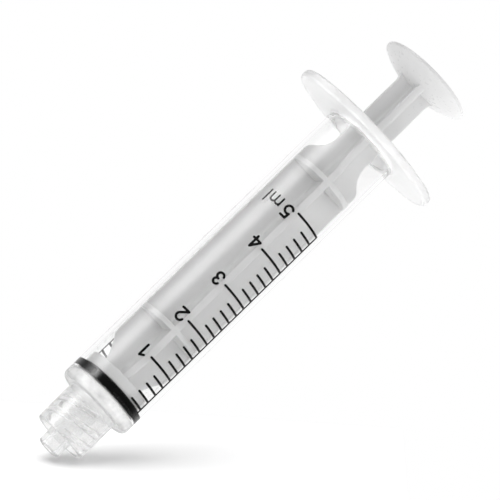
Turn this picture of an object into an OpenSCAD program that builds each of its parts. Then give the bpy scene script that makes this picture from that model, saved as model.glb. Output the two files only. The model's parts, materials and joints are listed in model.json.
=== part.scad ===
// Five millilitre syringe with a locking Luer tip. It stands on its thumb disc with the tip up.
// Millimetres. The Z axis is the axis of the barrel, and Z = 0 is the rim of the thumb disc.
// The plunger is pushed home, so the seal ring's front edge is level with the zero mark.

/* [Barrel] */
// Radius of the bore, which sets how long one millilitre is
bore_r = 6.17; // [6.1:0.01:6.3]
// Wall of the tube
wall_t = 0.78; // [0.7:0.01:0.9]
// Height of the flange's lower face
flange_z = 13.4; // [12.5:0.1:14]
// Thickness of the finger flange
flange_t = 1.6; // [1.3:0.1:2]
// Length of the finger flange, across the fingers
flange_long = 29.5; // [27:0.5:31]
// Width of the finger flange
flange_short = 17.8; // [17:0.1:19]
// Radius of the flange's two ends
flange_end_r = 5.9; // [5.5:0.1:6.5]
// Height of the outer face that closes the front of the tube
front_z = 76.95; // [76.8:0.05:77.6]
// Thickness of the front wall
front_t = 1.9; // [1.6:0.05:2.2]
// Radius that rounds the front edge of the tube
front_edge_r = 0.9; // [0.4:0.1:1]

/* [Luer tip and collar] */
// Length of the tip in front of the barrel
tip_len = 10.2; // [9.8:0.1:11]
// Radius of the tip at its free end
tip_end_r = 2.03; // [1.96:0.01:2.04]
// Radius of the channel through the tip
channel_r = 1.0; // [0.8:0.05:1.2]
// Length of the locking collar
collar_len = 7.65; // [7:0.05:8]
// Outer radius of the collar
collar_r = 4.8; // [4.7:0.02:5]
// Radius of the collar's inside, at the root of its thread
collar_bore_r = 4.0; // [3.9:0.05:4.1]
// Height of the thread's ridge above the collar's inside
thread_depth = 0.5; // [0.3:0.05:0.6]
// Radius that rounds the mouth of the collar
collar_edge_r = 0.5; // [0.2:0.05:0.6]
// Radius that rounds the free end of the tip
tip_edge_r = 0.4; // [0.2:0.05:0.5]

/* [Plunger rod] */
// Radius of the thumb disc
disc_r = 8.5; // [8:0.1:9]
// Thickness of the thumb disc at its rim
disc_rim_t = 0.6; // [0.5:0.1:1]
// Height of the middle of the thumb disc's domed side
disc_crown_z = 2.85; // [2.6:0.05:3.2]
// Thickness of the thumb disc in the middle
disc_t = 1.2; // [1:0.1:1.4]
// Half width of the ribs on the narrow stem
stem_r = 3.37; // [3:0.01:3.8]
// Half width of the ribs inside the barrel
rib_r = 5.88; // [5.6:0.02:5.92]
// Thickness of the ribs
rib_t = 1.25; // [1:0.05:1.5]
// Radius of the round core where the ribs cross
core_r = 1.15; // [1:0.05:1.3]
// Radius of the two cross webs and of the piston head
web_r = 5.9; // [5.8:0.02:6]
// Thickness of the cross webs
web_t = 0.95; // [0.8:0.05:1.4]

/* [Seal ring] */
// Diameter of the ring's round section
seal_d = 1.8; // [1.6:0.05:1.9]
// How far the bore and the groove flatten the section, on each side
seal_squeeze = 0.12; // [0.05:0.01:0.2]
// Running gap between the ring and what it touches
seal_gap = 0.02; // [0.01:0.01:0.05]

/* [Scale] */
// Height of the zero mark
zero_z = 74.2; // [74:0.1:74.5]
// Width of the printed lines
line_w = 0.4; // [0.3:0.05:0.5]
// Thickness of the ink
ink_t = 0.03; // [0.02:0.01:0.04]
// Height of the printed numerals
digit_h = 2.55; // [2.2:0.05:3]

/* [Hidden] */
$fn = 96;
barrel_r = bore_r + wall_t;
ml_len = 1000 / (PI * pow(bore_r, 2));
scale_ml = 5;
tip_taper = 0.06;             // change of diameter for each unit of length
thread_lead = 5;              // two starts, 2.5 apart
thread_base = 1.5;            // plain length of collar behind the thread
thread_a = -104;              // direction in which the first start begins
thread_root_half = 0.6;
thread_crest_half = 0.25;
thread_steps = 24;
flange_fillet_r = 0.6;
lead_in = 0.3;
tip_z = front_z + tip_len;
collar_z = front_z + collar_len;
inner_front_z = front_z - front_t;

// Heights on the plunger rod
shoulder_low_z = 17.7;        // where the stem starts to widen
shoulder_high_z = 23;         // where it has reached the full rib
shoulder_hollow_r = 4.9;      // the hollow curve at the start of the shoulder
low_web_z = 24.6;
high_web_z = 59.45;
rib_end_low_z = 66.2;         // the ribs draw in on a hollow curve between these heights
rib_end_high_z = 70.4;
rib_end_r = 3.75;
rib_end_hollow_r = 10.8;
head_z = 70.85;
head_gap = 0.1;               // between the piston head and the front wall
foot_r = 5;                   // half width of the ribs where they meet the thumb disc
rim_flat_w = 1.2;

// The seal ring and its groove
seal_z = zero_z - 0.48;
seal_half_t = seal_d / 2 - seal_squeeze;
seal_mid_r = bore_r - seal_gap - seal_half_t;
groove_r = seal_mid_r - seal_half_t - seal_gap;

// Directions of the front scale round the barrel; the flange's long axis is 0 and the front is -90
long_line_a = -141.3;
short_tick_a = -112;
long_tick_a = -90.3;
digit_a = -79;
letter_m_a = -56.5;
letter_l_a = -41.5;
tick_gap = 0.02;              // bare barrel between the long line and the ticks
stroke_w = 0.42;
thin_w = 0.32;
arc_steps = 14;

function arc(c, r, a0, a1, n) =
    [for (i = [0:n]) let (a = a0 + (a1 - a0) * i / n) c + r * [cos(a), sin(a)]];
function cap_radius(half_w, rise) = (pow(half_w, 2) + pow(rise, 2)) / (2 * rise);
// Points of a round cap of the given rise, from its edge at half_w to the axis
function cap_arc(half_w, z_edge, z_mid) =
    let (rise = z_mid - z_edge, r = cap_radius(half_w, rise))
    arc([0, z_mid - r], r, acos(half_w / r), 90, arc_steps);
// Points of an arc of radius r from p to q, with its centre on the right of the way from p to q
function arc_between(p, q, r, n) =
    let (
        d = q - p,
        c = (p + q) / 2 + [d[1], -d[0]] / norm(d) * sqrt(pow(r, 2) - pow(norm(d) / 2, 2)),
        a0 = atan2(p[1] - c[1], p[0] - c[0]),
        turn = 2 * asin(norm(d) / 2 / r))
    arc(c, r, a0, a0 - turn, n);
function reverse(p) = [for (i = [len(p) - 1:-1:0]) p[i]];

// An oval bounded by four arcs that meet smoothly
module oval(length, width, end_r, h) {
    c = length / 2 - end_r;
    rise = width / 2 - end_r;
    side_off = (pow(c, 2) - pow(rise, 2)) / (2 * rise);
    side_r = width / 2 + side_off;
    joint_x = c * side_r / (side_r - end_r);
    for (x = [-c, c]) translate([x, 0, 0]) cylinder(h = h, r = end_r);
    intersection() {
        translate([0, -side_off, 0]) cylinder(h = h, r = side_r);
        translate([0, side_off, 0]) cylinder(h = h, r = side_r);
        translate([-joint_x, -width / 2, 0]) cube([2 * joint_x, width, h]);
    }
}

// The tube, its front wall and the fillet that joins it to the flange
module tube_outside() {
    f = flange_fillet_r;
    top = flange_z + flange_t;
    rotate_extrude()
        polygon(concat(
            [[0, flange_z], [barrel_r + f, flange_z], [barrel_r + f, top]],
            arc([barrel_r + f, top + f], f, 270, 180, 6),
            arc([barrel_r - front_edge_r, front_z - front_edge_r], front_edge_r, 0, 90, 6),
            [[0, front_z]]));
}

module tip_outside() {
    base_r = tip_end_r + tip_taper * (tip_len + front_t / 2) / 2;
    rotate_extrude()
        polygon(concat(
            [[0, front_z - front_t / 2], [base_r, front_z - front_t / 2]],
            arc([tip_end_r - tip_edge_r, tip_z - tip_edge_r], tip_edge_r, 0, 90, 6),
            [[0, tip_z]]));
}

module collar_shell() {
    rotate_extrude()
        polygon(concat(
            [[collar_bore_r, front_z - front_t / 2], [collar_r, front_z - front_t / 2]],
            arc([collar_r - collar_edge_r, collar_z - collar_edge_r], collar_edge_r, 0, 90, 6),
            [[collar_bore_r, collar_z]]));
}

// One start of the collar's internal thread: a ridge on a right-hand helix
module thread_start(phase) {
    turns = (collar_len - thread_base - thread_root_half - 0.1) / thread_lead;
    n = ceil(thread_steps * turns);
    root = collar_bore_r + 0.2;
    crest = collar_bore_r - thread_depth;
    section = [[root, -thread_root_half], [crest, -thread_crest_half],
        [crest, thread_crest_half], [root, thread_root_half]];
    points = [for (i = [0:n], p = section)
        let (a = phase + 360 * turns * i / n)
        [p[0] * cos(a), p[0] * sin(a),
            front_z + thread_base + thread_lead * turns * i / n + p[1]]];
    sides = [for (i = [0:n - 1], k = [0:3])
        let (a = 4 * i + k, b = 4 * i + (k + 1) % 4)
        each [[a, a + 4, b], [b, a + 4, b + 4]]];
    polyhedron(points, concat(sides, [[0, 1, 2, 3], [4 * n + 3, 4 * n + 2, 4 * n + 1, 4 * n]]));
}

module bore_cut() {
    translate([0, 0, flange_z - 1]) cylinder(h = inner_front_z - flange_z + 1, r = bore_r);
    translate([0, 0, flange_z - 0.01])
        cylinder(h = lead_in, r1 = bore_r + lead_in, r2 = bore_r);
    translate([0, 0, inner_front_z - 1]) cylinder(h = tip_len + front_t + 2, r = channel_r);
}

module barrel() {
    color("whitesmoke", 0.35)
        difference() {
            union() {
                translate([0, 0, flange_z]) oval(flange_long, flange_short, flange_end_r, flange_t);
                tube_outside();
                tip_outside();
                collar_shell();
                for (phase = [thread_a, thread_a + 180]) thread_start(phase);
            }
            bore_cut();
        }
}

// The thumb disc: domed towards the tip, hollow for the thumb, with a flat rim to stand on
module thumb_disc() {
    flat_r = disc_r - rim_flat_w;
    rotate_extrude()
        polygon(concat(
            [[flat_r, 0], [disc_r - 0.15, 0], [disc_r, 0.15]],
            cap_arc(disc_r, disc_rim_t, disc_crown_z),
            reverse(cap_arc(flat_r, 0, disc_crown_z - disc_t))));
}

// Half of the rib's outline, from the thumb disc to the piston head
function rib_edge() =
    let (
        foot_z = disc_crown_z - 0.75,
        flare = foot_r - stem_r,
        rise = shoulder_high_z - shoulder_low_z,
        out = rib_r - stem_r,
        turn = 2 * atan(out / rise),
        round_r = rise / sin(turn) - shoulder_hollow_r)
    concat(
        [[foot_r, foot_z - 0.4], [foot_r, foot_z]],
        arc([foot_r, foot_z + flare], flare, 270, 180, 8),
        arc([stem_r + shoulder_hollow_r, shoulder_low_z], shoulder_hollow_r, 180, 180 - turn, 8),
        arc([rib_r - round_r, shoulder_high_z], round_r, -turn, 0, 8),
        arc_between([rib_r, rib_end_low_z], [rib_end_r, rib_end_high_z], rib_end_hollow_r, 6),
        [[rib_end_r, head_z + 0.5]]);

module rib_pair() {
    edge = rib_edge();
    other = [for (p = edge) [-p[0], p[1]]];
    rotate([90, 0, 0])
        linear_extrude(height = rib_t, center = true)
            polygon(concat(edge, reverse(other)));
}

module piston_head() {
    top = inner_front_z - head_gap;
    groove_h = seal_d + 2 * seal_gap;
    difference() {
        translate([0, 0, head_z]) cylinder(h = top - head_z, r = web_r);
        translate([0, 0, seal_z - groove_h / 2])
            difference() {
                cylinder(h = groove_h, r = web_r + 1);
                translate([0, 0, -1]) cylinder(h = groove_h + 2, r = groove_r);
            }
    }
}

module plunger_rod() {
    color("gainsboro")
        union() {
            thumb_disc();
            rib_pair();
            rotate([0, 0, 90]) rib_pair();
            translate([0, 0, disc_crown_z - disc_t / 2])
                cylinder(h = head_z + 0.5 - disc_crown_z, r = core_r);
            for (z = [low_web_z, high_web_z])
                translate([0, 0, z]) cylinder(h = web_t, r = web_r);
            piston_head();
        }
}

module seal_ring() {
    color("black")
        translate([0, 0, seal_z])
            rotate_extrude()
                translate([seal_mid_r, 0])
                    intersection() {
                        circle(r = seal_d / 2);
                        square([2 * seal_half_t, seal_d + 1], center = true);
                    }
}

// A line round the barrel, from one direction to another
module ring_line(z, a0, a1) {
    rotate([0, 0, a0])
        translate([0, 0, z - line_w / 2])
            rotate_extrude(angle = a1 - a0)
                translate([barrel_r, 0]) square([ink_t, line_w]);
}

// A line along the barrel
module long_line() {
    half_a = asin(line_w / 2 / barrel_r);
    rotate([0, 0, long_line_a - half_a])
        translate([0, 0, zero_z - scale_ml * ml_len - line_w / 2])
            rotate_extrude(angle = 2 * half_a)
                translate([barrel_r, 0]) square([ink_t, scale_ml * ml_len + line_w]);
}

module scale_lines() {
    start_a = long_line_a + asin((line_w / 2 + tick_gap) / barrel_r);
    color("black") {
        long_line();
        for (i = [0:5 * scale_ml])
            ring_line(zero_z - i * ml_len / 5, start_a, i % 5 == 0 ? long_tick_a : short_tick_a);
    }
}

// A band of ink along an arc, and a straight stroke between two points
module bow(c, r, a0, a1, w = stroke_w) {
    polygon(concat(arc(c, r + w / 2, a0, a1, 12), reverse(arc(c, r - w / 2, a0, a1, 12))));
}
module stroke(a, b, w = stroke_w) {
    d = (b - a) / norm(b - a) * w / 2;
    n = [-d[1], d[0]];
    polygon([a - d + n, a - d - n, b + d - n, b + d + n]);
}

// Plain numerals, drawn about the middle of their height, one unit of u being half of it
module numeral_1(u) {
    stroke([0.15 * u, -u + stroke_w / 2], [0.15 * u, u - stroke_w / 2]);
    stroke([0.15 * u, u - stroke_w / 2], [-0.35 * u, 0.5 * u]);
}
module numeral_2(u) {
    r = 0.5 * u;
    bow([0, u - r - stroke_w / 2], r, 170, -35);
    stroke([r * cos(35), u - r - stroke_w / 2 - r * sin(35)], [-0.5 * u, -u + stroke_w / 2]);
    stroke([-0.5 * u, -u + stroke_w / 2], [0.5 * u, -u + stroke_w / 2]);
}
module numeral_3(u) {
    r_top = (u - stroke_w / 2) * 0.47;
    r_low = u - stroke_w / 2 - r_top;
    bow([0, u - stroke_w / 2 - r_top], r_top, 160, -90);
    bow([0, -u + stroke_w / 2 + r_low], r_low, 90, -160);
}
module numeral_4(u) {
    stroke([0.25 * u, -u + stroke_w / 2], [0.25 * u, u - stroke_w / 2]);
    stroke([0.25 * u, u - stroke_w / 2], [-0.55 * u, -0.4 * u]);
    stroke([-0.55 * u, -0.4 * u], [0.6 * u, -0.4 * u]);
}
module numeral_5(u) {
    r = 0.56 * u;
    top = u - stroke_w / 2;
    bow([-0.06 * u, -u + stroke_w / 2 + r], r, 125, -150);
    stroke([-0.4 * u, 0.12 * u], [-0.32 * u, top]);
    stroke([-0.32 * u, top], [0.42 * u, top]);
}
module letter_m(h) {
    arch_r = h * 0.28;
    for (x = [-2, 0, 2]) stroke([x * arch_r, thin_w / 2], [x * arch_r, h - arch_r], thin_w);
    for (x = [-1, 1]) bow([x * arch_r, h - arch_r - thin_w / 2], arch_r, 0, 180, thin_w);
    stroke([-2 * arch_r, thin_w / 2], [-2 * arch_r, h - thin_w / 2], thin_w);
}

// Puts a flat drawing on the barrel at a height and direction, as a thin skin of ink
module print_at(z, a) {
    intersection() {
        translate([0, 0, z]) rotate([0, 0, a + 90]) rotate([90, 0, 0])
            linear_extrude(height = barrel_r + 1) children();
        translate([0, 0, z - 5])
            difference() {
                cylinder(h = 10, r = barrel_r + ink_t);
                translate([0, 0, -1]) cylinder(h = 12, r = barrel_r);
            }
    }
}

module scale_numerals() {
    u = digit_h / 2;
    color("black")
        union() {
            print_at(zero_z - ml_len, digit_a) numeral_1(u);
            print_at(zero_z - 2 * ml_len, digit_a) numeral_2(u);
            print_at(zero_z - 3 * ml_len, digit_a) numeral_3(u);
            print_at(zero_z - 4 * ml_len, digit_a) numeral_4(u);
            // The last number and its unit stand on the level of their mark
            print_at(zero_z - scale_ml * ml_len + u - line_w / 2, digit_a) numeral_5(u);
            print_at(zero_z - scale_ml * ml_len - line_w / 2, letter_m_a) letter_m(digit_h * 0.7);
            print_at(zero_z - scale_ml * ml_len - line_w / 2, letter_l_a)
                stroke([0, thin_w / 2], [0, digit_h - thin_w / 2], thin_w);
        }
}

module scale_lines_front() {
    scale_lines();
}
module scale_numerals_front() {
    scale_numerals();
}
// The same scale is printed again on the other side
module scale_lines_back() {
    rotate([0, 0, 180]) scale_lines();
}
module scale_numerals_back() {
    rotate([0, 0, 180]) scale_numerals();
}

barrel();
plunger_rod();
seal_ring();
scale_lines_front();
scale_numerals_front();
scale_lines_back();
scale_numerals_back();
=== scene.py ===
import json
import math
import bmesh
import bpy
import numpy as np
from mathutils import Matrix, Vector


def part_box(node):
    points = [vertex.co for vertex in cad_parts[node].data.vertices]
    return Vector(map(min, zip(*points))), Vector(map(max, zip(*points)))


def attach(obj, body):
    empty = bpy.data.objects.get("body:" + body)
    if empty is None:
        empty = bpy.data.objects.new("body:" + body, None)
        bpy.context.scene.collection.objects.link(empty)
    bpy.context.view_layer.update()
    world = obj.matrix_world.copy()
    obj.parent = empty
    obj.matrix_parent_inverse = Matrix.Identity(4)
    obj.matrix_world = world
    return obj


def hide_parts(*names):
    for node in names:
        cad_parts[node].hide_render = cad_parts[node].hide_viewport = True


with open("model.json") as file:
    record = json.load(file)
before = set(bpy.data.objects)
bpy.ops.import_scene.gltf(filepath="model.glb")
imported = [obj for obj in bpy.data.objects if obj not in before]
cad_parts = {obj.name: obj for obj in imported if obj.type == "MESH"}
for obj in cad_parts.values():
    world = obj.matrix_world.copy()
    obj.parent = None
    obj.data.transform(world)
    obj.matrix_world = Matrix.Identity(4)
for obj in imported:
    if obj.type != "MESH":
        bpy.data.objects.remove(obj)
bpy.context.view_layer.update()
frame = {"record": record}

MM = 0.001
SEGMENTS = 192
SUPPORT = 0.05                # distance of the row that holds an edge's shading
ARC_STEP = 15                 # degrees between the points of a rounded corner

# ---------------------------------------------------------------- sizes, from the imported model


def span(node):
    lo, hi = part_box(node)
    return [c / MM for c in lo], [c / MM for c in hi]


mounts = {m["name"]: m for m in frame["record"]["mounts"]}
barrel_lo, barrel_hi = span("barrel")
rod_hi = span("plunger_rod")[1]
ring_lo, ring_hi = span("seal_ring")
lines_lo, lines_hi = span("scale_lines_front")

barrel_r = mounts["barrel_body"]["dims"]["r_mm"]
channel_r = mounts["outlet_channel"]["dims"]["r_mm"]
tip_z = barrel_hi[2]
inner_front_z = tip_z - mounts["outlet_channel"]["dims"]["length_mm"]
flange_z = barrel_lo[2]
flange_top = mounts["flange_front_face"]["pos_m"][2] / MM
flange_long = barrel_hi[0] - barrel_lo[0]
flange_short = barrel_hi[1] - barrel_lo[1]
seal_gap = 0.02
bore_r = ring_hi[0] + seal_gap
seal_z = (ring_lo[2] + ring_hi[2]) / 2
line_w = 0.4
scale_ml = 5                  # the scale's last numeral
zero_z = lines_hi[2] - line_w / 2
ml_len = (lines_hi[2] - lines_lo[2] - line_w) / scale_ml
disc_r = rod_hi[0]
head_top = rod_hi[2]

# The rest repeats the part's own values. A name that ends in _round is a corner's radius.
front_t = 1.9
front_z = inner_front_z + front_t
front_edge_r = 0.9
flange_end_r = 5.9
flange_edge_r = 0.55
flange_fillet_r = 0.6
flange_foot_r = barrel_r + flange_fillet_r + 0.1    # where the flange's flat face begins
mouth_wide = 0.3              # how much the bore opens at the flange, over the height mouth_deep
mouth_deep = 0.35
mouth_round = 0.5
bore_end_round = 0.25
channel_in_round = 0.12
channel_out_round = 0.45
collar_z = front_z + 7.65
collar_r = 4.8
collar_bore_r = 4.0
collar_round = 0.5
collar_lip_round = 0.25
collar_foot_round = 0.3
tip_end_r = 2.03
tip_taper = 0.03              # growth of the tip's radius for each millimetre of its length
tip_base_r = tip_end_r + tip_taper * (tip_z - front_z)
tip_round = 0.52
thread_depth = 0.5
thread_lead = 5.0
thread_base = 1.5
thread_a = -104.0
thread_root_half = 0.6
thread_crest_half = 0.25
thread_fade = 0.03            # turns over which each start fades in and out
thread_turns = (collar_z - front_z - thread_base - thread_root_half - 0.1) / thread_lead
thread_rows = 66
thread_low = 0.6              # the fine rows start this far from the front wall
thread_high = 0.35            # and end this far from the collar's rim

disc_rim_t = 0.6
disc_crown_z = 2.85
disc_t = 1.2
disc_flat_w = 1.2
disc_heel_round = 0.22
disc_rim_round = 0.16
rib_t = 1.25
rib_edge_round = 0.24
stem_r = 3.37
rib_r = 5.88
core_r = 1.15
foot_r = 5.0
foot_z = disc_crown_z - 0.75  # height where the ribs flare into the disc
ribs_sunk = 0.4               # how far the ribs reach into the disc
shoulder_low_z = 17.7
shoulder_high_z = 23.0
shoulder_hollow_r = 4.9
rib_end_low_z = 66.2
rib_end_high_z = 70.4
rib_end_r = 3.75
rib_end_hollow_r = 10.8
web_r = 5.9
web_t = 0.95
web_round = 0.18
web_heights = (24.6, 59.45)
head_z = 70.85
head_low_round = 0.2
head_top_round = 0.15
groove_h = 1.84
groove_r = 4.57
groove_lip_round = 0.1
groove_floor_round = 0.15
seal_grip = 0.02              # the ring stands this far into the bore's wall, clear of its groove
seal_outer_round = 0.34
seal_inner_round = 0.6

long_line_a = -141.3
short_tick_a = -112.0
long_tick_a = -90.3
digit_a = -79.0
letter_m_a = -56.5
letter_l_a = -41.5
digit_h = 2.55
stroke_w = 0.42
thin_w = 0.32
marks_per_ml = 5
line_cell = 0.13              # grid that the lines are cut from
digit_cell = 0.075
ink_t = 0.025
ink_sunk = 0.01               # how far the ink's underside lies in the barrel's surface

# ---------------------------------------------------------------- mesh helpers


def new_object(name, verts, faces, sharp=None):
    mesh = bpy.data.meshes.new(name)
    mesh.from_pydata([tuple(c * MM for c in v) for v in verts], [], faces)
    mesh.update()
    bm = bmesh.new()
    bm.from_mesh(mesh)
    bmesh.ops.recalc_face_normals(bm, faces=bm.faces)
    bm.to_mesh(mesh)
    bm.free()
    mesh.shade_smooth()
    if sharp is not None:
        mesh.set_sharp_from_angle(angle=math.radians(sharp))
    obj = bpy.data.objects.new(name, mesh)
    bpy.context.scene.collection.objects.link(obj)
    return obj


def rounded(corners, closed=False, step=2.0):
    """Profile points through (r, z, radius) corners, each rounded, with a support point beside
    each arc."""
    n = len(corners)
    pieces = []
    for i, (r, z, radius) in enumerate(corners):
        p = np.array([r, z])
        at_end = not closed and i in (0, n - 1)
        if radius == 0 or at_end:
            pieces.append([p])
            continue
        a = np.array(corners[i - 1][:2]) - p
        b = np.array(corners[(i + 1) % n][:2]) - p
        a /= np.linalg.norm(a)
        b /= np.linalg.norm(b)
        half = math.acos(max(-1.0, min(1.0, float(a @ b)))) / 2
        back = radius / math.tan(half)
        mid = (a + b) / np.linalg.norm(a + b)
        centre = p + mid * radius / math.sin(half)
        start = p + a * back - centre
        end = p + b * back - centre
        turn = math.pi - 2 * half
        steps = max(3, math.ceil(math.degrees(turn) / ARC_STEP))
        arc = []
        for k in range(steps + 1):
            t = k / steps
            arc.append(centre + (math.sin((1 - t) * turn) * start + math.sin(t * turn) * end)
                       / math.sin(turn))
        pieces.append(arc)
    out = []
    for i, piece in enumerate(pieces):
        out += piece
        if not closed and i == n - 1:
            break
        a = piece[-1]
        b = pieces[(i + 1) % n][0]
        length = float(np.linalg.norm(b - a))
        if length > 4 * SUPPORT:
            d = (b - a) / length
            out.append(a + d * SUPPORT)
            inner = length - 2 * SUPPORT
            cuts = math.ceil(inner / step)
            out += [a + d * (SUPPORT + inner * k / cuts) for k in range(1, cuts)]
            out.append(b - d * SUPPORT)
    return [(float(p[0]), float(p[1])) for p in out]


def skin(name, radius, height, closed, sharp=None):
    """A surface of turned rows. radius and height hold one value for each row and segment."""
    rows, cols = radius.shape
    angle = np.linspace(0, 2 * math.pi, cols, endpoint=False)
    verts = []
    index = []
    for i in range(rows):
        if radius[i].max() < 1e-9:
            index.append([len(verts)] * cols)
            verts.append((0.0, 0.0, float(height[i, 0])))
            continue
        first = len(verts)
        index.append(list(range(first, first + cols)))
        verts += zip((radius[i] * np.cos(angle)).tolist(), (radius[i] * np.sin(angle)).tolist(),
                     height[i].tolist())
    faces = []
    for i in range(rows if closed else rows - 1):
        low = index[i]
        high = index[(i + 1) % rows]
        for j in range(cols):
            k = (j + 1) % cols
            ring = [low[j], low[k], high[k], high[j]]
            faces.append(list(dict.fromkeys(ring)))
    return new_object(name, verts, faces, sharp)


def lathe(name, profile, closed=False):
    p = np.array(profile)
    wide = np.ones((1, SEGMENTS))
    return skin(name, p[:, :1] * wide, p[:, 1:] * wide, closed)


def union(name, parts, sharp):
    """One closed mesh from overlapping closed parts."""
    base = parts[0]
    for other in parts[1:]:
        mod = base.modifiers.new("join", "BOOLEAN")
        mod.operation = "UNION"
        mod.solver = "EXACT"
        mod.object = other
    graph = bpy.context.evaluated_depsgraph_get()
    mesh = bpy.data.meshes.new_from_object(base.evaluated_get(graph))
    mesh.name = name
    for part in parts:
        bpy.data.objects.remove(part)
    mesh.shade_smooth()
    mesh.set_sharp_from_angle(angle=math.radians(sharp))
    obj = bpy.data.objects.new(name, mesh)
    bpy.context.scene.collection.objects.link(obj)
    return obj


def smooth(x):
    x = np.clip(x, 0, 1)
    return x * x * (3 - 2 * x)


# ---------------------------------------------------------------- barrel


def oval_radius(angle):
    """Distance from the axis to the flange's edge, whose outline is four arcs."""
    c = flange_long / 2 - flange_end_r
    rise = flange_short / 2 - flange_end_r
    side_off = (c ** 2 - rise ** 2) / (2 * rise)
    side_r = flange_short / 2 + side_off
    joint_x = c * side_r / (side_r - flange_end_r)
    dx = np.abs(np.cos(angle))
    dy = np.abs(np.sin(angle))
    side = -side_off * dy + np.sqrt((side_off * dy) ** 2 + side_r ** 2 - side_off ** 2)
    end = c * dx + np.sqrt(np.maximum((c * dx) ** 2 - c ** 2 + flange_end_r ** 2, 0))
    return np.where(side * dx <= joint_x, side, end)


def thread_height(angle, z):
    """How far the collar's two thread starts stand in from its bore, at one height."""
    height = np.zeros_like(angle)
    for start in (thread_a, thread_a + 180):
        turned = np.mod(angle - math.radians(start), 2 * math.pi) / (2 * math.pi)
        for lap in (-1, 0, 1):
            turns = turned + lap
            off = np.abs(z - front_z - thread_base - thread_lead * turns)
            ridge = smooth((thread_root_half - off) / (thread_root_half - thread_crest_half))
            ends = (smooth((turns + thread_fade) / (2 * thread_fade))
                    * smooth((thread_turns - turns + thread_fade) / (2 * thread_fade)))
            height = np.maximum(height, ridge * ends)
    return height * thread_depth


def barrel_rows():
    """Rows (a, b, z, threaded): the radius is a + b times the oval's, less the thread where
    threaded."""
    inside = rounded([
        (bore_r + mouth_wide, flange_z, 0), (bore_r, flange_z + mouth_deep, mouth_round),
        (bore_r, inner_front_z, bore_end_round), (channel_r, inner_front_z, channel_in_round),
        (channel_r, tip_z, channel_out_round), (tip_end_r, tip_z, tip_round),
        (tip_base_r, front_z, collar_foot_round), (collar_bore_r, front_z, collar_foot_round),
        (collar_bore_r, front_z + thread_low - 0.1, 0)])
    rows = [(r, 0, z, 0) for r, z in inside[1:]]
    z0 = front_z + thread_low
    z1 = collar_z - thread_high
    rows += [(collar_bore_r, 0, z0 + (z1 - z0) * i / thread_rows, 1)
             for i in range(thread_rows + 1)]
    outside = rounded([
        (collar_bore_r, z1 + SUPPORT, 0), (collar_bore_r, collar_z, collar_lip_round),
        (collar_r, collar_z, collar_round), (collar_r, front_z, collar_foot_round),
        (barrel_r, front_z, front_edge_r), (barrel_r, flange_top, flange_fillet_r),
        (flange_foot_r, flange_top, 0)])
    rows += [(r, 0, z, 0) for r, z in outside]
    # Across the flange's tip side, round its edge and back across its thumb side
    e = flange_edge_r
    across = (0.1, 0.25, 0.4, 0.55, 0.7, 0.85, 0.97)
    rows += [(flange_foot_r * (1 - t) - e * t, t, flange_top, 0) for t in across]
    for start, middle_z in ((90, flange_top - e), (0, flange_z + e)):
        for k in range(9):
            a = math.radians(start - 90 * k / 8)
            rows.append((e * math.cos(a) - e, 1, middle_z + e * math.sin(a), 0))
    mouth_r = bore_r + mouth_wide
    edge_r = mouth_r + SUPPORT
    rows += [(edge_r * (1 - t) - e * t, t, flange_z, 0) for t in reversed(across)]
    rows += [(edge_r, 0, flange_z, 0), (mouth_r, 0, flange_z, 0)]
    return rows


def make_barrel():
    angle = np.linspace(0, 2 * math.pi, SEGMENTS, endpoint=False)
    oval = oval_radius(angle)
    rows = barrel_rows()
    radius = np.array([a + b * oval - (thread_height(angle, z) if threaded else 0)
                       for a, b, z, threaded in rows])
    height = np.array([[z] * SEGMENTS for a, b, z, threaded in rows])
    return skin("clear_barrel", radius, height, True, 40)


# ---------------------------------------------------------------- plunger rod


def cap_points(half_w, z_edge, z_mid, steps=22):
    """A round cap from its edge to the axis."""
    rise = z_mid - z_edge
    r = (half_w ** 2 + rise ** 2) / (2 * rise)
    a0 = math.acos(half_w / r)
    out = []
    for k in range(steps + 1):
        a = a0 + (math.pi / 2 - a0) * k / steps
        out.append((r * math.cos(a), z_mid - r + r * math.sin(a)))
    out[-1] = (0.0, z_mid)
    return out


def make_disc():
    flat_r = disc_r - disc_flat_w
    top = cap_points(disc_r, disc_rim_t, disc_crown_z)
    hollow = cap_points(flat_r, 0, disc_crown_z - disc_t)[::-1]
    rim = rounded([(flat_r + 0.1, 0, 0), (disc_r, 0, disc_heel_round),
                   (disc_r, disc_rim_t, disc_rim_round), (top[2][0], top[2][1], 0)])
    return lathe("disc", hollow + rim + top[3:])


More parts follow.
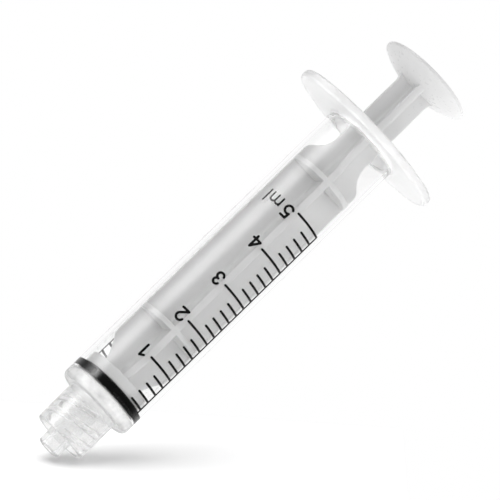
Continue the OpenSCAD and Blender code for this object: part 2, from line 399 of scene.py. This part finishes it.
def rib_edge():
    """Half width of the ribs at each height, from the thumb disc to the piston head."""
    flare = foot_r - stem_r
    rise = shoulder_high_z - shoulder_low_z
    turn = 2 * math.atan((rib_r - stem_r) / rise)
    round_r = rise / math.sin(turn) - shoulder_hollow_r
    edge = [(foot_r, foot_z - ribs_sunk)]
    for k in range(11):
        a = math.radians(270 - 9 * k)
        edge.append((foot_r + flare * math.cos(a), foot_z + flare + flare * math.sin(a)))
    stem_z = edge[-1][1]
    edge += [(stem_r, stem_z + (shoulder_low_z - stem_z) * k / 8) for k in range(1, 8)]
    for k in range(13):
        a = math.pi - turn * k / 12
        edge.append((stem_r + shoulder_hollow_r * (1 + math.cos(a)),
                     shoulder_low_z + shoulder_hollow_r * math.sin(a)))
    for k in range(1, 13):
        a = -turn * (1 - k / 12)
        edge.append((rib_r - round_r + round_r * math.cos(a),
                     shoulder_high_z + round_r * math.sin(a)))
    edge += [(rib_r, shoulder_high_z + (rib_end_low_z - shoulder_high_z) * k / 24)
             for k in range(1, 24)]
    p = np.array([rib_r, rib_end_low_z])
    q = np.array([rib_end_r, rib_end_high_z])
    d = q - p
    length = float(np.linalg.norm(d))
    centre = (p + q) / 2 + np.array([d[1], -d[0]]) / length * math.sqrt(
        rib_end_hollow_r ** 2 - length ** 2 / 4)
    a0 = math.atan2(p[1] - centre[1], p[0] - centre[0])
    turn = 2 * math.asin(length / 2 / rib_end_hollow_r)
    edge += [(centre[0] + rib_end_hollow_r * math.cos(a0 - turn * k / 12),
              centre[1] + rib_end_hollow_r * math.sin(a0 - turn * k / 12)) for k in range(13)]
    edge.append((rib_end_r, head_z + 0.3))
    return edge


def cross_section(arm):
    """Outline of the four ribs: rounded edges, and a hollow fillet where they meet at the core."""
    b = rib_t / 2
    edge_r = rib_edge_round
    fillet = (core_r - b * math.sqrt(2)) / (math.sqrt(2) - 1)
    quarter = [(arm, 0.0)]
    for k in range(5):
        a = math.radians(90 * k / 4)
        quarter.append((arm - edge_r + edge_r * math.cos(a), b - edge_r + edge_r * math.sin(a)))
    quarter.append((arm - edge_r - SUPPORT, b))
    quarter.append(((arm - edge_r + b + fillet) / 2, b))
    quarter.append((b + fillet + SUPPORT, b))
    for k in range(4):
        a = math.radians(270 - 15 * k)
        quarter.append((b + fillet + fillet * math.cos(a), b + fillet + fillet * math.sin(a)))
    outline = quarter + [(y, x) for x, y in quarter[1:-1]][::-1]
    points = []
    for turn in range(4):
        c = round(math.cos(turn * math.pi / 2))
        s = round(math.sin(turn * math.pi / 2))
        points += [(c * x - s * y, s * x + c * y) for x, y in outline]
    return points


def make_ribs():
    verts = []
    rows = [[(x, y, z) for x, y in cross_section(arm)] for arm, z in rib_edge()]
    n = len(rows[0])
    for row in rows:
        verts += row
    faces = []
    for i in range(len(rows) - 1):
        for j in range(n):
            k = (j + 1) % n
            faces.append([i * n + j, i * n + k, (i + 1) * n + k, (i + 1) * n + j])
    faces.append(list(range(n))[::-1])
    faces.append([(len(rows) - 1) * n + j for j in range(n)])
    return new_object("ribs", verts, faces)


def make_web(z):
    top = z + web_t
    return lathe("web", rounded([(0, z, 0), (web_r, z, web_round), (web_r, top, web_round),
                                 (0, top, 0)]))


def make_head():
    low = seal_z - groove_h / 2
    high = seal_z + groove_h / 2
    return lathe("head", rounded([
        (0, head_z, 0), (web_r, head_z, head_low_round), (web_r, low, groove_lip_round),
        (groove_r, low, groove_floor_round), (groove_r, high, groove_floor_round),
        (web_r, high, groove_lip_round), (web_r, head_top, head_top_round), (0, head_top, 0)]))


def make_rod():
    parts = [make_ribs(), make_disc(), *(make_web(z) for z in web_heights), make_head()]
    return union("moulded_plunger", parts, 32)


# ---------------------------------------------------------------- seal ring


def make_seal():
    """The rubber wets the bore, so no light passes between them."""
    outer = bore_r + seal_grip
    inner = groove_r + seal_grip
    half_h = (ring_hi[2] - ring_lo[2]) / 2
    low = seal_z - half_h
    high = seal_z + half_h
    profile = rounded([
        (outer, low, seal_outer_round), (outer, high, seal_outer_round),
        (inner, high, seal_inner_round), (inner, low, seal_inner_round)], closed=True, step=0.5)
    return lathe("rubber_seal", profile, closed=True)


# ---------------------------------------------------------------- printed scale


def distance(points, strokes):
    """Signed distance from each point to a drawing of round-ended strokes (a, b, width)."""
    best = np.full(len(points), 1e9)
    for a, b, width in strokes:
        a = np.array(a)
        d = np.array(b) - a
        t = np.clip(((points - a) @ d) / max(float(d @ d), 1e-12), 0, 1)
        away = np.linalg.norm(points - a - t[:, None] * d, axis=1) - width / 2
        best = np.minimum(best, away)
    return best


def ink_mesh(strokes, cell):
    """Vertices and faces of the flat area that the strokes cover."""
    ends = np.array([p for a, b, w in strokes for p in (a, b)])
    lo = ends.min(axis=0) - 0.5
    nx, ny = (int(math.ceil(v)) + 1 for v in (ends.max(axis=0) + 0.5 - lo) / cell)
    grid = np.array([(lo[0] + i * cell, lo[1] + j * cell) for j in range(ny) for i in range(nx)])
    value = distance(grid, strokes)
    value[np.abs(value) < 1e-3 * cell] = 1e-3 * cell
    verts = []
    known = {}

    def corner(i):
        if i not in known:
            known[i] = len(verts)
            verts.append(tuple(grid[i]))
        return known[i]

    def crossing(i, j):
        key = (min(i, j), max(i, j))
        if key not in known:
            a, b = key
            t = value[a] / (value[a] - value[b])
            known[key] = len(verts)
            verts.append(tuple(grid[a] + (grid[b] - grid[a]) * t))
        return known[key]

    faces = []
    inside = value < 0
    for j in range(ny - 1):
        for i in range(nx - 1):
            q = j * nx + i
            corners = (q, q + 1, q + nx + 1, q + nx)
            if not any(inside[c] for c in corners):
                continue
            for tri in ((corners[0], corners[1], corners[2]), (corners[0], corners[2], corners[3])):
                face = []
                for k in range(3):
                    a = tri[k]
                    b = tri[(k + 1) % 3]
                    if inside[a]:
                        face.append(corner(a))
                    if inside[a] != inside[b]:
                        face.append(crossing(a, b))
                if len(face) > 2:
                    faces.append(face)
    return verts, faces


def printed(name, drawings, turn):
    """A thin solid of ink on the barrel for each drawing (direction, height, strokes, cell)."""
    verts = []
    faces = []
    for direction, z, strokes, cell in drawings:
        flat, area = ink_mesh(strokes, cell)
        first = len(verts)
        n = len(flat)
        for r in (barrel_r + ink_t, barrel_r - ink_sunk):
            for x, y in flat:
                a = math.radians(direction + turn) + x / barrel_r
                verts.append((r * math.cos(a), r * math.sin(a), z + y))
        edges = {}
        for face in area:
            faces.append([first + v for v in face])
            faces.append([first + n + v for v in reversed(face)])
            for k in range(len(face)):
                a = face[k]
                b = face[(k + 1) % len(face)]
                if (b, a) in edges:
                    del edges[(b, a)]
                else:
                    edges[(a, b)] = True
        for a, b in edges:
            faces.append([first + a, first + n + a, first + n + b, first + b])
    return new_object(name, verts, faces, 50)


def arc_strokes(c, r, a0, a1, width, steps=16):
    points = []
    for k in range(steps + 1):
        a = math.radians(a0 + (a1 - a0) * k / steps)
        points.append((c[0] + r * math.cos(a), c[1] + r * math.sin(a)))
    return [(points[k], points[k + 1], width) for k in range(steps)]


def path_strokes(points, width):
    return [(points[k], points[k + 1], width) for k in range(len(points) - 1)]


def numerals():
    """Strokes of the numerals 1 to 5 about the middle of their height."""
    w = stroke_w
    u = digit_h / 2
    top = u - w / 2
    r2 = 0.5 * u
    r3 = top * 0.47
    r4 = top - r3
    r5 = 0.54 * u
    c35 = math.cos(math.radians(35))
    s35 = math.sin(math.radians(35))
    return {
        1: path_strokes([(0.15 * u, -top), (0.15 * u, top), (-0.35 * u, 0.5 * u)], w),
        2: arc_strokes((0, top - r2), r2, 170, -35, w)
        + path_strokes([(r2 * c35, top - r2 - r2 * s35), (-0.5 * u, -top), (0.5 * u, -top)], w),
        3: arc_strokes((0, top - r3), r3, 165, -90, w)
        + arc_strokes((0, r4 - top), r4, 90, -165, w),
        4: path_strokes([(0.25 * u, -top), (0.25 * u, top), (-0.55 * u, -0.4 * u),
                         (0.6 * u, -0.4 * u)], w),
        5: arc_strokes((-0.06 * u, r5 - top), r5, 128, -150, w)
        + path_strokes([(-0.38 * u, 0.14 * u), (-0.32 * u, top), (0.42 * u, top)], w),
    }


def letter_m():
    h = digit_h * 0.7
    arch = h * 0.28
    top = h - thin_w / 2
    out = path_strokes([(-2 * arch, thin_w / 2), (-2 * arch, top)], thin_w)
    for x in (-1, 1):
        out += arc_strokes((x * arch, top - arch), arch, 0, 180, thin_w)
    for x in (0, 2):
        out += path_strokes([(x * arch, thin_w / 2), (x * arch, top - arch)], thin_w)
    return out


def scale_lines(turn, name):
    reach_short = math.radians(short_tick_a - long_line_a) * barrel_r - line_w / 2
    reach_long = math.radians(long_tick_a - long_line_a) * barrel_r - line_w / 2
    strokes = [((0, 0), (0, -scale_ml * ml_len), line_w)]
    for i in range(scale_ml * marks_per_ml + 1):
        y = -i * ml_len / marks_per_ml
        reach = reach_short if i % marks_per_ml else reach_long
        strokes.append(((0, y), (reach, y), line_w))
    return printed(name, [(long_line_a, zero_z, strokes, line_cell)], turn)


def scale_numerals(turn, name):
    u = digit_h / 2
    shapes = numerals()
    base = zero_z - scale_ml * ml_len - line_w / 2
    ell = path_strokes([(0, thin_w / 2), (0, digit_h - thin_w / 2)], thin_w)
    drawings = [(digit_a, zero_z - n * ml_len, shapes[n], digit_cell)
                for n in range(1, scale_ml)]
    drawings += [(digit_a, base + u, shapes[scale_ml], digit_cell),
                 (letter_m_a, base, letter_m(), digit_cell),
                 (letter_l_a, base, ell, digit_cell)]
    return printed(name, drawings, turn)


# ---------------------------------------------------------------- materials

PLASTIC_IOR = 1.49
RUBBER_IOR = 1.5
FLANGE_CLOUD = 0.42           # share of the light that the thick clear plastic scatters
FRONT_CLOUD = 0.34
FLANGE_BLUR = 0.36            # and the roughness that goes with it
FRONT_BLUR = 0.19


def material(name):
    mat = bpy.data.materials.new(name)
    mat.use_nodes = True
    return mat, mat.node_tree, mat.node_tree.nodes["Principled BSDF"]


def noise(tree, scale, detail=2.0):
    """Noise in the object's own coordinates; scale is in cycles a metre."""
    where = tree.nodes.new("ShaderNodeTexCoord")
    tex = tree.nodes.new("ShaderNodeTexNoise")
    tex.inputs["Scale"].default_value = scale
    tex.inputs["Detail"].default_value = detail
    tree.links.new(where.outputs["Object"], tex.inputs["Vector"])
    return tex.outputs["Fac"]


def map_range(tree, value, start, end, low, high, kind="LINEAR"):
    """A number that runs from low to high while the value runs from start to end."""
    node = tree.nodes.new("ShaderNodeMapRange")
    node.interpolation_type = kind
    for name, number in (("From Min", start), ("From Max", end), ("To Min", low),
                         ("To Max", high)):
        node.inputs[name].default_value = number
    tree.links.new(value, node.inputs["Value"])
    return node.outputs["Result"]


def ease(tree, value, start, end, low, high):
    return map_range(tree, value, start, end, low, high, "SMOOTHSTEP")


def ramp(tree, value, low, high):
    """A number that runs from low to high over the middle of the noise."""
    return map_range(tree, value, 0.3, 0.7, low, high)


def tint(tree, value, low, high):
    """A grey that runs from low to high with the value."""
    node = tree.nodes.new("ShaderNodeMix")
    node.data_type = "RGBA"
    node.inputs[6].default_value = (low, low, low, 1)
    node.inputs[7].default_value = (high, high, high, 1)
    tree.links.new(value, node.inputs[0])
    return node.outputs[2]


def bump(tree, value, strength, distance_m):
    node = tree.nodes.new("ShaderNodeBump")
    node.inputs["Strength"].default_value = strength
    node.inputs["Distance"].default_value = distance_m
    tree.links.new(value, node.inputs["Height"])
    return node.outputs["Normal"]


def height_ease(tree, start, end, low, high):
    """A number that runs from low to high between two heights, in millimetres."""
    where = tree.nodes.new("ShaderNodeTexCoord")
    split = tree.nodes.new("ShaderNodeSeparateXYZ")
    tree.links.new(where.outputs["Object"], split.inputs[0])
    return ease(tree, split.outputs["Z"], start * MM, end * MM, low, high)


def calc(tree, kind, a, b):
    node = tree.nodes.new("ShaderNodeMath")
    node.operation = kind
    for socket, value in zip(node.inputs, (a, b)):
        if isinstance(value, (int, float)):
            socket.default_value = value
        else:
            tree.links.new(value, socket)
    return node.outputs[0]


def clear_plastic():
    """Clear in the thin tube, and cloudy where the plastic is thick: the flange and the front
    wall."""
    mat, tree, shader = material("clear_barrel")

    def mixed(flange_part, front_part):
        return calc(tree, "ADD", calc(tree, "MULTIPLY", flange, flange_part),
                    calc(tree, "MULTIPLY", front, front_part))

    shader.inputs["Base Color"].default_value = (0.99, 0.99, 0.99, 1)
    shader.inputs["IOR"].default_value = PLASTIC_IOR
    flange = height_ease(tree, flange_top + 0.2, flange_top + 1.2, 1.0, 0.0)
    behind = height_ease(tree, seal_z + 0.7, seal_z + 1.4, 0.0, 1.0)
    before = height_ease(tree, front_z + 0.3, front_z + 2.0, 1.0, 0.5)
    front = calc(tree, "MULTIPLY", behind, before)
    cloud = ramp(tree, noise(tree, 700, 3), 0.8, 1.1)
    haze = calc(tree, "MULTIPLY", mixed(FLANGE_CLOUD, FRONT_CLOUD), cloud)
    tree.links.new(calc(tree, "SUBTRACT", 1.0, haze), shader.inputs["Transmission Weight"])
    fine = ramp(tree, noise(tree, 900), 0.0, 0.02)
    blur = calc(tree, "MULTIPLY", mixed(FLANGE_BLUR, FRONT_BLUR), cloud)
    tree.links.new(calc(tree, "ADD", fine, blur), shader.inputs["Roughness"])
    tree.links.new(bump(tree, noise(tree, 330), 0.25, 0.00004), shader.inputs["Normal"])
    return mat


def milky_plastic():
    mat, tree, shader = material("natural_plastic")
    cloud = noise(tree, 260, 3)
    tree.links.new(tint(tree, cloud, 0.8, 0.85), shader.inputs["Base Color"])
    shader.inputs["IOR"].default_value = PLASTIC_IOR
    shader.inputs["Subsurface Weight"].default_value = 0.6
    shader.inputs["Subsurface Radius"].default_value = (1.0, 1.0, 1.0)
    shader.inputs["Subsurface Scale"].default_value = 0.0015
    tree.links.new(ramp(tree, noise(tree, 1500), 0.26, 0.38), shader.inputs["Roughness"])
    tree.links.new(bump(tree, cloud, 0.15, 0.0001), shader.inputs["Normal"])
    return mat


def black_rubber():
    mat, tree, shader = material("black_rubber")
    grain = noise(tree, 2500, 3)
    tree.links.new(tint(tree, grain, 0.0008, 0.002), shader.inputs["Base Color"])
    shader.inputs["IOR"].default_value = RUBBER_IOR
    shader.inputs["Specular IOR Level"].default_value = 0.08
    tree.links.new(ramp(tree, grain, 0.25, 0.36), shader.inputs["Roughness"])
    tree.links.new(bump(tree, grain, 0.2, 0.00003), shader.inputs["Normal"])
    return mat


def scale_ink():
    mat, tree, shader = material("scale_ink")
    grain = noise(tree, 3000, 2)
    tree.links.new(tint(tree, grain, 0.008, 0.02), shader.inputs["Base Color"])
    shader.inputs["IOR"].default_value = RUBBER_IOR
    tree.links.new(ramp(tree, grain, 0.16, 0.3), shader.inputs["Roughness"])
    return mat


# ---------------------------------------------------------------- build

clear = clear_plastic()
milky = milky_plastic()
rubber = black_rubber()
ink = scale_ink()


def place_piece(piece, finish, body, node):
    piece.data.materials.append(finish)
    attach(piece, body)
    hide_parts(node)
    return piece


barrel = place_piece(make_barrel(), clear, "barrel", "barrel")
place_piece(make_rod(), milky, "plunger", "plunger_rod")
seal = place_piece(make_seal(), rubber, "seal", "seal_ring")
for side, turn in (("front", 0), ("back", 180)):
    place_piece(scale_lines(turn, "printed_lines_" + side), ink,
                "barrel", "scale_lines_" + side)
    place_piece(scale_numerals(turn, "printed_numerals_" + side), ink,
                "barrel", "scale_numerals_" + side)

# ---------------------------------------------------------------- camera

AZIMUTH = 7.5
ELEVATION = 10.879
ROLL = 134.313                # the syringe lies across the picture with its tip down to the left
DISTANCE = 696.424
TARGET = (0.131, 0.017, 40.919)
LENS = 309.565

az = math.radians(AZIMUTH)
el = math.radians(ELEVATION)
back = Vector((math.sin(az) * math.cos(el), -math.cos(az) * math.cos(el), math.sin(el)))
level = Vector((math.cos(az), math.sin(az), 0))
above = back.cross(level)
roll = math.radians(ROLL)
view_up = level * math.sin(roll) + above * math.cos(roll)
view_right = level * math.cos(roll) - above * math.sin(roll)
camera = bpy.data.objects.new("camera", bpy.data.cameras.new("camera"))
bpy.context.scene.collection.objects.link(camera)
camera.data.lens = LENS
camera.data.sensor_width = 36
camera.data.clip_start = 0.01
camera.data.clip_end = 20
axes = Matrix((view_right, view_up, back)).transposed().to_4x4()
place = (Vector(TARGET) + back * DISTANCE) * MM
camera.matrix_world = Matrix.Translation(place) @ axes
bpy.context.scene.camera = camera

# ---------------------------------------------------------------- floor

FLOOR_TILT = math.radians(12.5)
FLOOR_LEAN = math.radians(4)  # the floor falls a little to the right
FLOOR_HALF_W = 36.0
FLOOR_HALF_D = 32.0
FLOOR_SHIFT = 17.0            # its middle lies this far to the right of where the syringe touches
FLOOR_GAP = 0.05
floor_up = view_up * math.cos(FLOOR_LEAN) + view_right * math.sin(FLOOR_LEAN)
floor_right = view_right * math.cos(FLOOR_LEAN) - view_up * math.sin(FLOOR_LEAN)
floor_n = floor_up * math.cos(FLOOR_TILT) + back * math.sin(FLOOR_TILT)
floor_back = back * math.cos(FLOOR_TILT) - floor_up * math.sin(FLOOR_TILT)


def lowest(points):
    return min(points, key=lambda p: p.dot(floor_n))


def rim_points(r, z):
    return [Vector((r * math.cos(math.radians(a)), r * math.sin(math.radians(a)), z))
            for a in range(0, 360, 5)]


touch = lowest(rim_points(tip_end_r, tip_z) + rim_points(collar_r, collar_z))
middle = touch - floor_n * FLOOR_GAP + floor_right * FLOOR_SHIFT
floor_corners = [middle + floor_right * x * FLOOR_HALF_W + floor_back * y * FLOOR_HALF_D
                 for x, y in ((-1, -1), (1, -1), (1, 1), (-1, 1))]
floor_mesh = bpy.data.meshes.new("floor")
floor_mesh.from_pydata([tuple(c * MM) for c in floor_corners], [], [(0, 1, 2, 3)])
floor_mesh.update()
floor = bpy.data.objects.new("floor", floor_mesh)
if floor_mesh.polygons[0].normal.dot(floor_n) < 0:
    floor_mesh.flip_normals()
bpy.context.scene.collection.objects.link(floor)
floor.visible_glossy = False
floor.visible_transmission = False


def floor_paint():
    """White card that shines a little, so that only its shadow shows. Its back is not seen."""
    mat, tree, shader = material("floor")
    shader.inputs["Base Color"].default_value = (0.75, 0.75, 0.75, 1)
    shader.inputs["Roughness"].default_value = 1.0
    shader.inputs["Specular IOR Level"].default_value = 0.0
    shader.inputs["Emission Color"].default_value = (1, 1, 1, 1)
    shader.inputs["Emission Strength"].default_value = 0.19
    side = tree.nodes.new("ShaderNodeNewGeometry")
    clear_side = tree.nodes.new("ShaderNodeBsdfTransparent")
    mix = tree.nodes.new("ShaderNodeMixShader")
    tree.links.new(side.outputs["Backfacing"], mix.inputs[0])
    tree.links.new(shader.outputs[0], mix.inputs[1])
    tree.links.new(clear_side.outputs[0], mix.inputs[2])
    tree.links.new(mix.outputs[0], tree.nodes["Material Output"].inputs["Surface"])
    return mat


floor_mesh.materials.append(floor_paint())

# ---------------------------------------------------------------- light

LAMP_A = math.radians(-19.5)  # direction of the long lamp that the barrel reflects
SHEEN_A = math.radians(-31)   # and of the lamp for the rubber ring's sheen


def area_light(name, towards, distance_mm, size_mm, radiance):
    """A soft lamp that faces the object from a direction, unseen by the camera or through the
    plastic."""
    data = bpy.data.lights.new(name, "AREA")
    data.shape = "RECTANGLE"
    data.size = size_mm[0] * MM
    data.size_y = size_mm[1] * MM
    data.energy = radiance * math.pi * data.size * data.size_y
    lamp = bpy.data.objects.new(name, data)
    bpy.context.scene.collection.objects.link(lamp)
    lamp.location = (Vector(TARGET) + towards.normalized() * distance_mm) * MM
    lamp.rotation_mode = "QUATERNION"
    lamp.rotation_quaternion = (-towards).to_track_quat("-Z", "Y")
    lamp.visible_camera = False
    lamp.visible_transmission = False
    return lamp


def only(name, obj):
    """A collection of one object, for light linking."""
    found = bpy.data.collections.new(name)
    found.objects.link(obj)
    return found


# Light for the floor, which takes the contact shadow
top = area_light("top_light", view_up + back * 0.1, 500, (640, 640), 2.95)
top.visible_glossy = False
top.light_linking.receiver_collection = only("card", floor)

clear_way = only("clear_way", barrel)
for member in clear_way.collection_objects:
    member.light_linking.link_state = "EXCLUDE"

# Light for the cloud in the clear plastic, which the barrel itself doesn't block
fill = area_light("fill_light", Vector((0.0, -1.0, 0.5)), 300, (300, 300), 3.2)
fill.visible_glossy = False
fill.data.cycles.max_bounces = 0
fill.light_linking.blocker_collection = clear_way
fill.light_linking.receiver_collection = only("cloudy", barrel)

# A narrow lamp beside the barrel, for the sheen of the rubber ring
sheen_dir = Vector((math.cos(SHEEN_A), math.sin(SHEEN_A), 0))
sheen = area_light("sheen_light", sheen_dir, 300, (70, 250), 105)
sheen.data.cycles.max_bounces = 0
sheen.light_linking.blocker_collection = clear_way
sheen.light_linking.receiver_collection = only("ring", seal)


def studio():
    """White surroundings. The camera sees plain white, reflections see a darker room with one long
    soft lamp, and scattered light has a soft fall from one side to the other."""
    world = bpy.data.worlds.new("studio")
    world.use_nodes = True
    tree = world.node_tree
    nodes = tree.nodes

    def times(a, b):
        return calc(tree, "MULTIPLY", a, b)

    def plus(a, b):
        return calc(tree, "ADD", a, b)

    def opposite(value):
        return calc(tree, "SUBTRACT", 1.0, value)

    def along(direction):
        node = nodes.new("ShaderNodeVectorMath")
        node.operation = "DOT_PRODUCT"
        tree.links.new(where.outputs["Generated"], node.inputs[0])
        node.inputs[1].default_value = direction
        return node.outputs["Value"]

    where = nodes.new("ShaderNodeTexCoord")
    path = nodes.new("ShaderNodeLightPath")
    to_lamp = along((math.cos(LAMP_A), math.sin(LAMP_A), 0))
    aside = along((-math.sin(LAMP_A), math.cos(LAMP_A), 0))
    away = along(tuple(-back))
    sideways = along(tuple((view_up - view_right).normalized()))
    upward = along((0, 0, 1))

    # What a mirror sees: the long lamp, brightest in its middle, in a room that is dark in front
    lamp = times(ease(tree, aside, -0.46, 0.0, 0.0, 4.1), ease(tree, aside, 0.0, 0.72, 1.0, 0.0))
    lamp = times(lamp, ease(tree, to_lamp, 0.2, 0.3, 0.0, 1.0))
    reflected = plus(lamp, ease(tree, away, -0.1, 0.9, 0.02, 0.9))

    # What is seen through the clear plastic
    passed = times(ease(tree, sideways, 0.3, 1.0, 1.02, 0.9), ease(tree, away, 0.0, 0.5, 0.8, 1.0))
    passed = plus(passed, times(lamp, 0.5))

    # What lights a diffuse surface: in the open, and inside the clear barrel
    beside = ease(tree, to_lamp, 0.3, 1.0, 0.0, 0.22)
    in_open = times(ease(tree, sideways, -0.9, 0.9, 1.2, 0.46),
                    ease(tree, away, -1.0, 0.4, 0.66, 1.0))
    in_open = times(in_open, ease(tree, upward, 0.0, 0.9, 1.0, 1.85))
    in_open = plus(in_open, beside)
    in_barrel = times(ease(tree, sideways, -0.9, 0.9, 1.72, 0.87),
                      ease(tree, away, -1.0, 0.4, 1.0, 0.95))
    in_barrel = plus(in_barrel, beside)
    transmitted = path.outputs["Is Transmission Ray"]
    diffuse = plus(times(in_open, opposite(transmitted)), times(in_barrel, transmitted))

    # A ray that has met a diffuse surface sees the diffuse room, even when it leaves through glass
    direct = opposite(calc(tree, "MINIMUM", path.outputs["Diffuse Depth"], 1.0))
    seen = path.outputs["Is Camera Ray"]
    through = times(direct, transmitted)
    mirrored = times(direct, times(path.outputs["Is Glossy Ray"], opposite(transmitted)))
    rest = opposite(plus(seen, plus(through, mirrored)))
    total = plus(seen, times(passed, through))
    total = plus(total, times(reflected, mirrored))
    total = plus(total, times(diffuse, rest))
    tree.links.new(total, nodes["Background"].inputs["Strength"])
    nodes["Background"].inputs["Color"].default_value = (1, 1, 1, 1)
    bpy.context.scene.world = world


studio()
for kind, count in (("max", 24), ("glossy", 16), ("transmission", 24)):
    setattr(bpy.context.scene.cycles, kind + "_bounces", count)
bpy.context.scene.view_settings.view_transform = "Standard"
